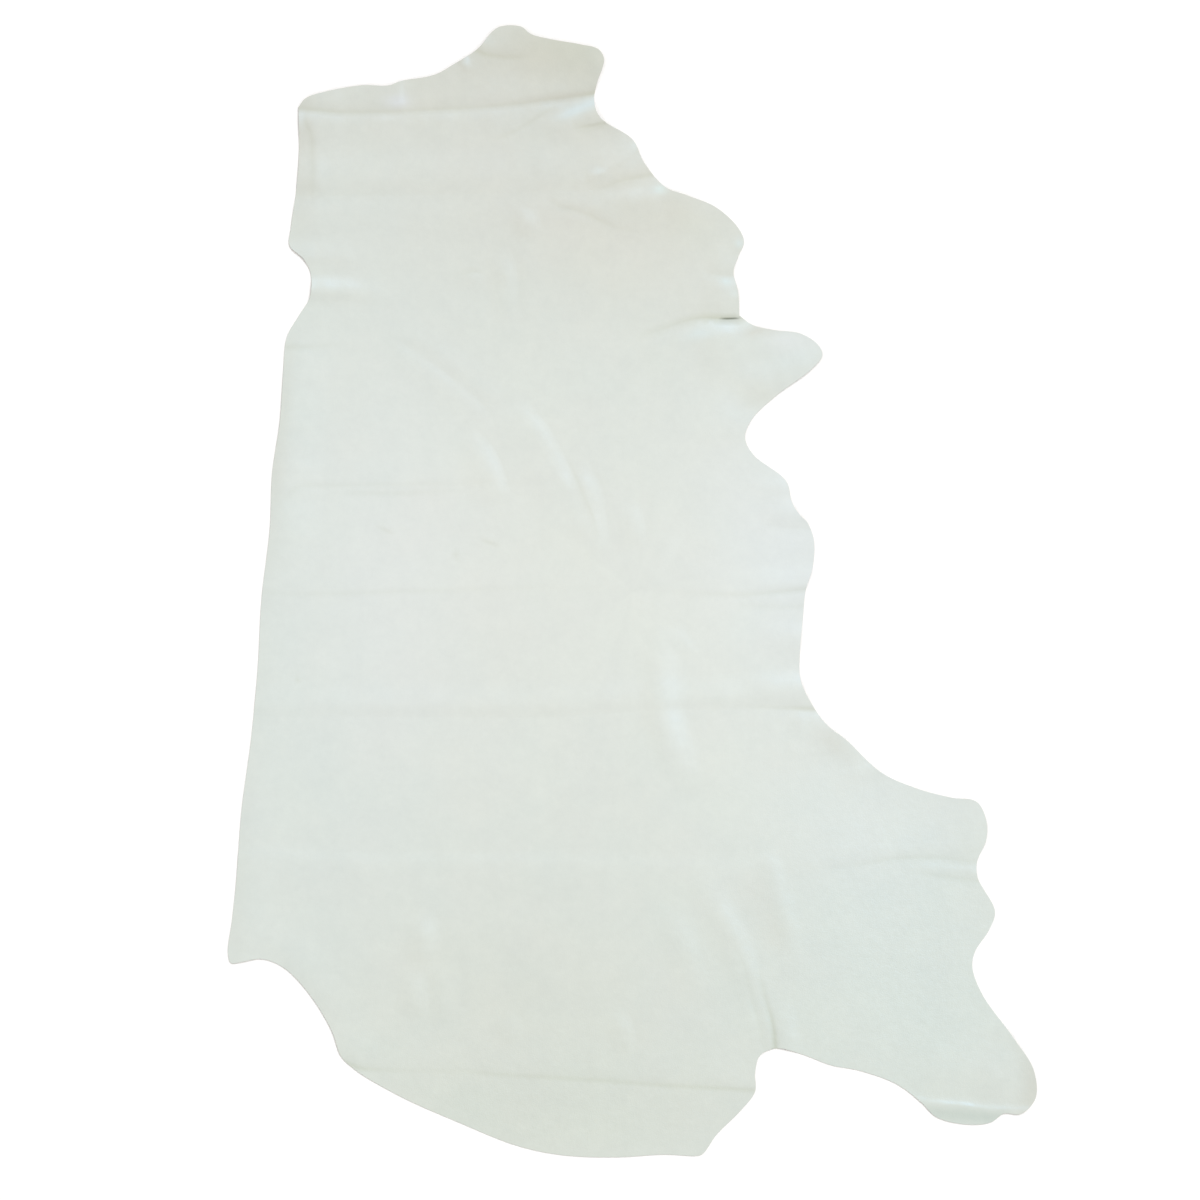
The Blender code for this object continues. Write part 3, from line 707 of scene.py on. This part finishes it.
bpy.ops.object.mode_set(mode="EDIT")
bpy.ops.mesh.select_mode(type="VERT")
bpy.ops.mesh.select_all(action="SELECT")
bpy.ops.mesh.delete_loose()
bpy.ops.mesh.select_all(action="SELECT")
bpy.ops.mesh.remove_doubles(threshold=TOO_SHORT)
bpy.ops.mesh.select_all(action="SELECT")
bpy.ops.mesh.extrude_region_move(TRANSFORM_OT_translate={"value": (0, 0, THICKNESS)})
bpy.ops.mesh.select_all(action="SELECT")
bpy.ops.mesh.normals_make_consistent(inside=False)
bpy.ops.mesh.select_all(action="DESELECT")
bpy.ops.object.mode_set(mode="OBJECT")
print("solid sheet:", len(mesh.vertices), "corners,", len(mesh.polygons), "faces")

# %% [markdown]
# ## The cut edge
# A knife leaves a square edge that handling soon rounds. The faces that stand upright are
# the cut edge; their long sides are selected by the faces that meet there, and bevelled.
# The sides of the bevel are marked sharp, so that its shading doesn't spread inwards.

# %% Round the cut edge
EDGE_ROUND = 0.4 * MM
UPRIGHT = 0.01  # a face is upright when its normal's z is under this

upright = {face.index for face in mesh.polygons if abs(face.normal.z) < UPRIGHT}
sides_of = {}
for face in mesh.polygons:
    for key in face.edge_keys:
        sides_of.setdefault(key, []).append(face.index in upright)
for edge in mesh.edges:
    edge.select = sorted(sides_of[edge.key]) == [False, True]
bpy.ops.object.mode_set(mode="EDIT")
bpy.ops.mesh.select_mode(type="EDGE")
bpy.ops.mesh.bevel(offset=EDGE_ROUND, segments=2, affect="EDGES", clamp_overlap=True)
bpy.ops.mesh.region_to_loop()
bpy.ops.mesh.mark_sharp()
bpy.ops.mesh.select_all(action="DESELECT")
bpy.ops.object.mode_set(mode="OBJECT")
mesh.shade_smooth()
triangles = sum(len(face.vertices) - 2 for face in mesh.polygons)
print("cut edge:", len(upright), "upright faces, now", triangles, "triangles")

# %% [markdown]
# ## Facts for the finishes
# A finish that follows the hide needs to know where on the hide it is. Attributes hold
# that for each corner of the mesh: how light, warm and green the skin is, how deep its
# grain is, and how much painted shade lies along a crease line. Lightness, warmth and green
# are partly the skin's own colour and partly painted light. They could be painted by hand; two
# short tables, of soft round zones and of soft bands along a path, do the same and stay
# readable. Broad rows give the skin its regions and a painted sheen, and small ones painted
# highlights, painted shade and shadows along folds and edges, and a few flecks and darker
# patches. Places and sizes are in centimetres, and a fact of 1 is worth the colour that the
# finish gives it further down.

# %% Zones of the skin
Zone = namedtuple("Zone", "name x y across along tone warmth green grain", defaults=(0, 0))
ZONES = (
    # Broad zones: partly the skin's own tone and partly painted sheen, lighter and cooler over the
    # middle, back, ribs, side, belly and thigh, and darker and warmer at the neck, shoulder, rump and
    # butt, where a broad light overhead would gleam less.
    Zone("neck tip", -10, 105, 14, 9, -0.25, 0.70, 0.50, 0.1),
    Zone("neck edge", -30, 101, 45, 11, -0.30, 0.65, 0, 0.1),
    Zone("neck blush", -44.4, 93.3, 2.2, 1.3, 0.30, -1.60, -1.20),
    # Painted highlights: small light, cool spots on fold slopes that face the lamp.
    Zone("neck corner", -62.8, 90.2, 1, 1.5, 0.25, -1.00, -0.30),
    Zone("neck nick glint", -31.4, 101, 0.8, 0.9, 0.30, -1.20, -0.30),
    Zone("thread glint 1", -6.4, 80.1, 1.2, 0.6, 0.25, -1.10, -0.20),
    Zone("thread glint 2", 0.5, 84.9, 0.8, 0.8, 0.25, -0.90),
    Zone("shoulder notch glint", 5.5, 76.6, 1.1, 0.8, 0.30, -1.10, 0.60),
    Zone("lobe glint 1", 20.5, 66.3, 0.8, 0.9, 0.15, -1.00, 0.10),
    Zone("lobe glint 2", 18, 58.9, 1, 0.6, 0.15, -0.80, 0.40),
    Zone("lobe glint 3", 19.4, 56.8, 0.6, 0.8, 0.20, -0.70),
    Zone("neck", -28, 82, 38, 24, -0.19, 0.34, -0.15),
    Zone("shoulder", 4, 68, 28, 16, -0.12, 0.72),
    Zone("shoulder lobe", 12, 70, 6, 4, -0.08, 0.10, 0.20),
    # painted highlight: a light, cool band along the foreleg's top
    Zone("foreleg", 29.7, 47.9, 5, 2.2, 0.26, -0.60, -0.60),
    # darker and warmer south of the foreleg ridge
    Zone("elbow dark patch", 25, 37.2, 4.5, 2.5, -0.15, 0.45, 0.15),
    # painted highlight on the north slope of the elbow swell
    Zone("elbow", 18.9, 35.5, 2.2, 2.8, 0.06, -0.30, -0.20),
    Zone("middle", -15, 5, 60, 38, 0.11, 0.14, -0.25),
    Zone("back", -46, 0, 18, 42, 0.14, -0.45, -0.40, -0.1),
    Zone("back edge", -68, -15, 22, 80, 0.04, -0.40),
    Zone("ribs", 0, -5, 34, 45, 0.15, -0.12, 0, -0.1),
    Zone("side", 18, 8, 12, 34, 0.06, 0, -0.05),
    Zone("side 2", 22, -40, 15, 20, 0.10, 0),
    Zone("belly", 31, 8, 16, 26, 0.24, -1.00, -0.65),
    # painted highlight on the lit side of the loin ridge
    Zone("loin", 7.8, -24, 2.2, 11, 0.08, -0.30, -0.10),
    Zone("loin fleck 1", -17.3, -36.8, 1.2, 2.2, 0.13, 0),
    Zone("loin fleck 2", -10.1, -35.2, 1.2, 1.8, 0.11, 0),
    Zone("thigh", 46, -44, 22, 22, 0.17, -0.58, -0.30, 0.6),
    Zone("rump", -22, -76, 38, 14, -0.10, 0.32, 0.15, 0.2),
    Zone("flank", 52, -75, 30, 25, 0, -0.37, 0.30, 1.6),
    Zone("butt", -18, -99, 46, 13, -0.18, 0.42, 0.40, 1.1),
)

# %% Bands of the skin
Band = namedtuple("Band", "name width tone warmth green path")
BANDS = (
    # partly the edge's own darker colour and partly painted shade where the edge rolls down
    Band("neck margin", 2.9, -0.25, 0.4, 0, (
        (-63.4, 93, 1), (-62.8, 84, 1), (-62.4, 77, 0.9), (-63.2, 69, 0.5), (-62, 62, 0),
    )),
    Band("neck shade", 0.8, -0.34, 0.4, 0, (
        (-24, 93, 0), (-18, 93.6, 0.7), (-14, 94.1, 1), (-10.5, 94.5, 0.9), (-6, 95.2, 0.2),
    )),
    Band("throat gleam", 1, 0.30, -2.10, -0.3, (
        (-16, 89.2, 0), (-14, 90.1, 0.3), (-11, 91.4, 1), (-8.5, 92.5, 1), (-6, 93.6, 1),
    )),
    # painted shadow: a dark line where the leather folds over itself
    Band("foreleg slit shadow", 0.19, -2.80, 0.3, 0, (
        (16.6, 52.05, 0), (17.8, 52, 0.9), (18.6, 52, 1), (19.6, 52.05, 1), (20.8, 52.1, 0),
    )),
    Band("foreleg gleam", 1.1, 0.20, -1.20, -0.2, (
        (8, 47.8, 0), (10, 48.6, 0.3), (13, 49.2, 1), (16, 50, 0.5), (18.5, 50.9, 0.1),
        (20.5, 51.3, 0),
    )),
    # painted shadow along the top edge at the end of the foreleg tuck
    Band("foreleg edge shadow", 0.9, -0.28, 0.7, 0, (
        (20, 49.4, 0.3), (22.5, 49.2, 0.9), (24, 49.7, 1), (25.5, 49.6, 0.8), (27, 49.6, 0.5),
        (29, 49.3, 0),
    )),
    # partly the edge's own darker colour and partly painted shade where the edge rolls down
    Band("back margin", 1.6, -0.16, 0.3, 0, (
        (-62.6, 52, 0), (-65.2, 46, 0.5), (-66.5, 34, 0.8), (-68.3, 20, 1), (-70.2, 0, 0.3),
        (-72.2, -27, 0.2), (-74.4, -50, 0.3), (-76, -66, 0.4),
    )),
    # darker and warmer along this path
    Band("belly dark band", 2.2, -0.20, 0.5, 0, (
        (34.5, -24, 0), (37.8, -28.2, 1), (41.5, -31.6, 0.6), (45, -34.5, 0),
    )),
    # painted shade on the west slope of the thigh fold
    Band("thigh fold shade", 3, -0.09, 0.3, 0, (
        (22.5, -51.5, 0), (23.6, -56, 1), (25.6, -61, 1), (27.8, -65.5, 1), (29, -69.5, 0),
    )),
    Band("thigh shade", 0.9, -0.20, 0.2, 0.1, (
        (24.8, -77, 0), (26, -80.9, 0.8), (26.9, -84.5, 1), (27.1, -89, 1.2),
    )),
    Band("loin gleam", 1.1, 0.11, -0.1, 0, (
        (10.6, 12.4, 0), (9, 10, 0.9), (7.2, 7.2, 1), (6.2, 4, 0.7), (5.9, 0.8, 0),
    )),
    # partly the edge's own darker colour and partly painted shade where the edge slopes down
    Band("shank margin", 2.3, -0.36, 0.6, 0, (
        (72.5, -84.6, 0), (76, -90.8, 1), (76.2, -96.3, 1), (73.5, -99, 0.5), (69, -99.5, 0),
    )),
    # painted shade on the flap that slopes down below the shank lip
    Band("shank flap shade", 1.5, -0.50, 0.1, 0.6, (
        (54, -98.1, 0), (57, -99.1, 0.8), (61, -99.6, 1), (65, -99.7, 1), (68.3, -100, 1.1),
        (71, -99.8, 0.6), (73, -99.5, 0),
    )),
)
print("zones:", len(ZONES), "bands:", len(BANDS))

# %% Facts for each corner
# the painted shade along a crease line fades out over this width
CREASE_SHADE_WIDTH = 0.45  # cm
BAND_REACH = 3  # widths, past which a band no longer shows


def across_band(points, path, width):
    """The strength of a path at points, falling off softly over its width."""
    path = smooth_path(path, PATH_STEP)
    found = near(points, path, BAND_REACH * width)
    strength, _, across = beside(points[found], path)
    return found, strength * np.exp(-((across / width) ** 2))


def skin_fact(points, fact):
    """A fact of the zones and bands at points of the plan."""
    total = np.zeros(len(points))
    for zone in ZONES:
        away = (points - (zone.x, zone.y)) / (zone.across, zone.along)
        total += getattr(zone, fact) * np.exp(-(away**2).sum(axis=1))
    for band in BANDS:
        found, strength = across_band(points, band.path, band.width)
        total[found] += getattr(band, fact, 0) * strength  # bands leave the grain alone
    return total


def painted_crease_shade(points):
    """Painted shade along the crease lines: up to 1 on a line and 0 away from it."""
    total = np.zeros(len(points))
    for crease in CREASES:
        found, strength = across_band(points, crease.path, CREASE_SHADE_WIDTH)
        total[found] = np.maximum(total[found], np.clip(crease.mark * strength, 0, 1))
    return total


def add_fact(name, values):
    fact = mesh.attributes.new(name, "FLOAT", "POINT")
    fact.data.foreach_set("value", values.astype(np.float32))
    print("fact", name, "from", values.min().round(2), "to", values.max().round(2))


corners = np.empty(len(mesh.vertices) * 3)
mesh.vertices.foreach_get("co", corners)
corners = corners.reshape(-1, 3)
corner_plan = corners[:, :2] / SCALE + MIDDLE
for fact in ("tone", "warmth", "green", "grain"):
    add_fact(fact, skin_fact(corner_plan, fact))
# painted shade along the crease lines
add_fact("crease_shade", painted_crease_shade(corner_plan))

# %% [markdown]
# ## Finishes
# Leather has three faces: the coated grain side, the suede-like flesh side and the cut
# edge. Each gets its own material. Small helpers add a node and join its sockets, so that
# each finish reads like a recipe.

# %% Helpers for nodes
def start_material(name):
    material = bpy.data.materials.new(name)
    material.use_nodes = True
    return material, material.node_tree.nodes["Principled BSDF"]


def add_node(material, kind, sockets=None, **options):
    """Adds a node with its options. A socket takes a value, or another node's output."""
    node = material.node_tree.nodes.new(kind)
    for name, value in options.items():
        setattr(node, name, value)
    join(material, node, sockets or {})
    return node


def join(material, node, sockets):
    for name, value in sockets.items():
        if isinstance(value, bpy.types.NodeSocket):
            material.node_tree.links.new(value, node.inputs[name])
        else:
            node.inputs[name].default_value = value


def math_node(material, operation, *values):
    node = add_node(material, "ShaderNodeMath", dict(enumerate(values)), operation=operation)
    return node.outputs[0]


def noise(material, place, scale, detail=2, roughness=0.5):
    """A soft chance pattern from 0 to 1, with `scale` spots to the metre."""
    node = add_node(material, "ShaderNodeTexNoise", {
        "Vector": place, "Scale": scale, "Detail": detail, "Roughness": roughness})
    return node.outputs["Fac"]


def with_noise(material, amount, share, place, scale, detail=3.0):
    """The amount with `share` times a chance pattern added."""
    return math_node(material, "MULTIPLY_ADD", noise(material, place, scale, detail), share, amount)


def attribute(material, name):
    node = add_node(material, "ShaderNodeAttribute", attribute_name=name)
    return node.outputs["Fac"]


# %% [markdown]
# ### Grain side
# The pearl coat is a thin film with mica in it: its body is a warm off-white with a touch
# of green, and what it reflects is bluish, so slopes that face the light turn cool. The
# body's tone swims a little over the skin, carries the painted sheen, highlights and shade of
# the zones and bands, and has painted shade along the crease lines. A fine pebble grain,
# two to three millimetres wide, is bump: at 1.4 mm of thickness it is too low for shape.

# %% Pearl grain
PEARL = (0.708, 0.718, 0.632)
# (fact, colour it adds, how much the painted crease shade adds to it, its spots as (to the metre,
# amount))
SKIN_FACTS = (
    ("tone", (0.160, 0.162, 0.142), -1.05, (
        (3, 0.17), (8, 0.20), (20, 0.24), (45, 0.23), (100, 0.20), (260, 0.12))),
    ("warmth", (0.024, -0.010, -0.038), 2, ((8, 0.40),)),
    ("green", (-0.0245, 0.0135, -0.0055), 1.5, ((6.5, 0.50),)),
)
PATTERN_MIDDLE = 0.5  # of a chance pattern that runs from 0 to 1
PORE_SHIFT = (0.030, 0.030, 0.027)
PORES = (160, 4, 0.7)  # to the metre, detail, roughness
PEBBLES = 380.0  # to the metre
BENDS = 90.0  # to the metre, of the waves that bend the pebbles
BEND = 4 * MM
GRAIN_LAYERS = ((0.5, 900, 2.0), (3.5, 60, 3.0))  # (share, to the metre, detail)
GRAIN_HEIGHT = 0.1 * MM
LEAST_GRAIN = 0.5
ROUGHNESS, ROUGHNESS_RANGE, ROUGH_SPOTS = 0.30, 0.08, 120.0


def shifted(material, colour, amount, shift):
    """The colour with `amount` times the shift added."""
    node = add_node(material, "ShaderNodeVectorMath", {0: amount, 1: shift, 2: colour},
                    operation="MULTIPLY_ADD")
    return node.outputs[0]


def pearl_grain():
    material, shader = start_material("pearl_grain")
    place = add_node(material, "ShaderNodeTexCoord").outputs["Object"]
    depth = attribute(material, "grain")

    # Colour: the middle of the skin, and then so much of each fact, with its own spots.
    crease_shade = attribute(material, "crease_shade")
    colour = PEARL
    for name, shift, in_crease_shade, spots in SKIN_FACTS:
        amount = attribute(material, name)
        for scale, share in spots:
            amount = with_noise(material, amount, share, place, scale)
        middle = PATTERN_MIDDLE * sum(share for _, share in spots)
        amount = math_node(material, "SUBTRACT", amount, middle)
        # painted shade: the crease lines turn darker and olive
        amount = math_node(material, "MULTIPLY_ADD", crease_shade, in_crease_shade, amount)
        colour = shifted(material, colour, amount, shift)

    # Pores: a fine unevenness of the tone, stronger where the grain is deeper.
    pores = math_node(material, "SUBTRACT", noise(material, place, *PORES), PATTERN_MIDDLE)
    pores = math_node(material, "MULTIPLY", pores, depth)
    colour = shifted(material, colour, pores, PORE_SHIFT)

    # Grain: rounded pebbles, with finer pores and softer waves over them.
    bend = add_node(material, "ShaderNodeTexNoise", {"Vector": place, "Scale": BENDS}).outputs["Color"]
    bent = shifted(material, place, bend, (BEND, BEND, BEND))
    pebbles = add_node(material, "ShaderNodeTexVoronoi", {"Vector": bent, "Scale": PEBBLES}, feature="F1")
    grain = pebbles.outputs["Distance"]
    for share, scale, detail in GRAIN_LAYERS:
        grain = with_noise(material, grain, share, place, scale, detail)
    grain = math_node(material, "MULTIPLY", grain, math_node(material, "ADD", LEAST_GRAIN, depth))
    bump = add_node(material, "ShaderNodeBump", {
        "Strength": 1, "Distance": GRAIN_HEIGHT, "Height": grain})
    join(material, shader, {
        "Base Color": colour, "Normal": bump.outputs[0], "IOR": 1.75,
        "Roughness": with_noise(material, ROUGHNESS, ROUGHNESS_RANGE, place, ROUGH_SPOTS),
        "Specular IOR Level": 0.8, "Specular Tint": (0.25, 0.6, 1, 1)})
    return material


# %% [markdown]
# ### Flesh side and cut edge
# Neither is coated, so both show the bare fibres of the skin: a short nap below, and fine
# ends at the cut. The two are one recipe, a matt blend of two colours over a low bump,
# with other numbers.

# %% Bare leather
def bare_leather(name, fibres, dark, light, strength, height, sockets):
    """Uncoated leather, whose fibres are (to the metre, detail, roughness)."""
    material, shader = start_material(name)
    place = add_node(material, "ShaderNodeTexCoord").outputs["Object"]
    pattern = noise(material, place, *fibres)
    colour = add_node(material, "ShaderNodeMix", {0: pattern, 6: dark, 7: light}, data_type="RGBA")
    bump = add_node(material, "ShaderNodeBump", {
        "Strength": strength, "Distance": height, "Height": pattern})
    join(material, shader, {"Base Color": colour.outputs[2], "Normal": bump.outputs[0], **sockets})
    return material


def flesh_suede():
    return bare_leather(
        "flesh_suede", (160, 5, 0.65), (0.52, 0.47, 0.40, 1), (0.70, 0.65, 0.57, 1),
        0.6, 0.3 * MM, {"Roughness": 0.9, "Specular IOR Level": 0.2, "Sheen Weight": 0.25})


def cut_edge():
    return bare_leather(
        "cut_edge", (700, 4, 0.6), (0.60, 0.57, 0.50, 1), (0.84, 0.82, 0.76, 1),
        0.5, 0.1 * MM, {"Roughness": 0.85, "Specular IOR Level": 0.3})


# %% Each face gets its finish
GRAIN, FLESH, CUT = range(3)
SIDE_SLOPE = 0.5  # a face is part of the cut edge when its normal's z is under this

for finish in (pearl_grain(), flesh_suede(), cut_edge()):
    mesh.materials.append(finish)
for face in mesh.polygons:
    if face.normal.z > SIDE_SLOPE:
        face.material_index = GRAIN
    else:
        face.material_index = FLESH if face.normal.z < -SIDE_SLOPE else CUT
counts = [sum(face.material_index == slot for face in mesh.polygons) for slot in (GRAIN, FLESH, CUT)]
print("faces of grain, flesh and cut edge:", counts)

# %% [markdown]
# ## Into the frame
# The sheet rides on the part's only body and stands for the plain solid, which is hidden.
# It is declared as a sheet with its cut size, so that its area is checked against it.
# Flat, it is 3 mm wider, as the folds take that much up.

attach(hide, "root")
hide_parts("hide")
print("sheet:", hide.name, "with", len(mesh.materials), "finishes")

# %% [markdown]
# ## The studio
# A hide is pictured from straight above on a white floor, under a large soft light. The
# floor is wide enough to fill every view, and its top lies a hair under the leather.

# %% Floor
FLOOR_HALF = 60.0  # metres
FLOOR_TOP = -0.3 * MM
FLOOR_WHITE = (0.98, 0.98, 0.98, 1)

bpy.ops.object.select_all(action="DESELECT")
bpy.ops.mesh.primitive_plane_add(size=2 * FLOOR_HALF, location=(0, 0, FLOOR_TOP))
floor = bpy.context.object
floor.name = "studio_floor"
paint, floor_shader = start_material("floor_paint")
join(paint, floor_shader, {"Base Color": FLOOR_WHITE, "Roughness": 0.95, "Specular IOR Level": 0.0})
floor.data.materials.append(paint)
print("floor:", 2 * FLOOR_HALF, "metres wide")

# %% [markdown]
# The sky is a plain even white near the horizon, where it closes off the floor, and
# dimmer above, where it only fills the shadows. One broad soft lamp shines from beyond the
# neck. It stands just too low to be mirrored in leather that lies flat, and so only the
# slopes that lean towards it catch its cool gleam.

# %% Sky
SKY_STEPS = ((0.03, (1, 1, 1, 1)), (0.22, (0.7242, 0.71, 0.6887, 1)))  # (height, colour)

world = bpy.data.worlds.new("studio_sky")
bpy.context.scene.world = world
world.use_nodes = True
direction = add_node(world, "ShaderNodeTexCoord").outputs["Generated"]
parts = add_node(world, "ShaderNodeSeparateXYZ", {0: direction})
ramp = add_node(world, "ShaderNodeValToRGB", {0: parts.outputs["Z"]})
for i, (height, colour) in enumerate(SKY_STEPS):
    ramp.color_ramp.elements[i].position = height
    ramp.color_ramp.elements[i].color = colour
join(world, world.node_tree.nodes["Background"], {"Color": ramp.outputs["Color"]})
print("sky:", len(ramp.color_ramp.elements), "colours")

# %% Key light
KEY_HEADING = (0.6, 0.8)
KEY_ELEVATION = math.radians(54)
KEY_SPREAD = math.radians(28)
KEY_STRENGTH = 1.5
KEY_COLOUR = (0.98, 1, 1.03)

key_data = bpy.data.lights.new("key_light", "SUN")
key_data.energy = KEY_STRENGTH
key_data.angle = KEY_SPREAD
key_data.color = KEY_COLOUR
key = bpy.data.objects.new("key_light", key_data)
flat = math.cos(KEY_ELEVATION)
towards = Vector((KEY_HEADING[0] * flat, KEY_HEADING[1] * flat, math.sin(KEY_ELEVATION)))
key.rotation_euler = towards.to_track_quat("Z", "Y").to_euler()
bpy.context.scene.collection.objects.link(key)
print("key light from", tuple(round(x, 2) for x in towards))

# %% [markdown]
# ## The camera
# It looks straight down from ten metres, so that the lamp's gleam is nearly as strong at
# the neck as at the butt. Its aim is the middle of the picture, which lies a little left of
# the middle of the hide, and its lens takes in just the picture's width.

# %% Camera
CAMERA_HEIGHT = 10.0
PICTURE_WIDTH = 2.28  # metres of floor
PICTURE_MIDDLE = np.array([[-5.985, -1.52]])  # cm, on the plan
SENSOR = 36.0  # millimetres
FARTHEST = 1000.0  # metres that the camera sees

camera_data = bpy.data.cameras.new("camera")
camera_data.sensor_width = SENSOR
camera_data.lens = SENSOR * CAMERA_HEIGHT / PICTURE_WIDTH
camera_data.clip_end = FARTHEST
camera = bpy.data.objects.new("camera", camera_data)
camera.location = (*placed(PICTURE_MIDDLE)[0], CAMERA_HEIGHT)
bpy.context.scene.collection.objects.link(camera)
bpy.context.scene.camera = camera
bpy.context.scene.view_settings.view_transform = "Standard"
print("camera at", tuple(round(x, 4) for x in camera.location), "lens", round(camera_data.lens, 2), "mm")
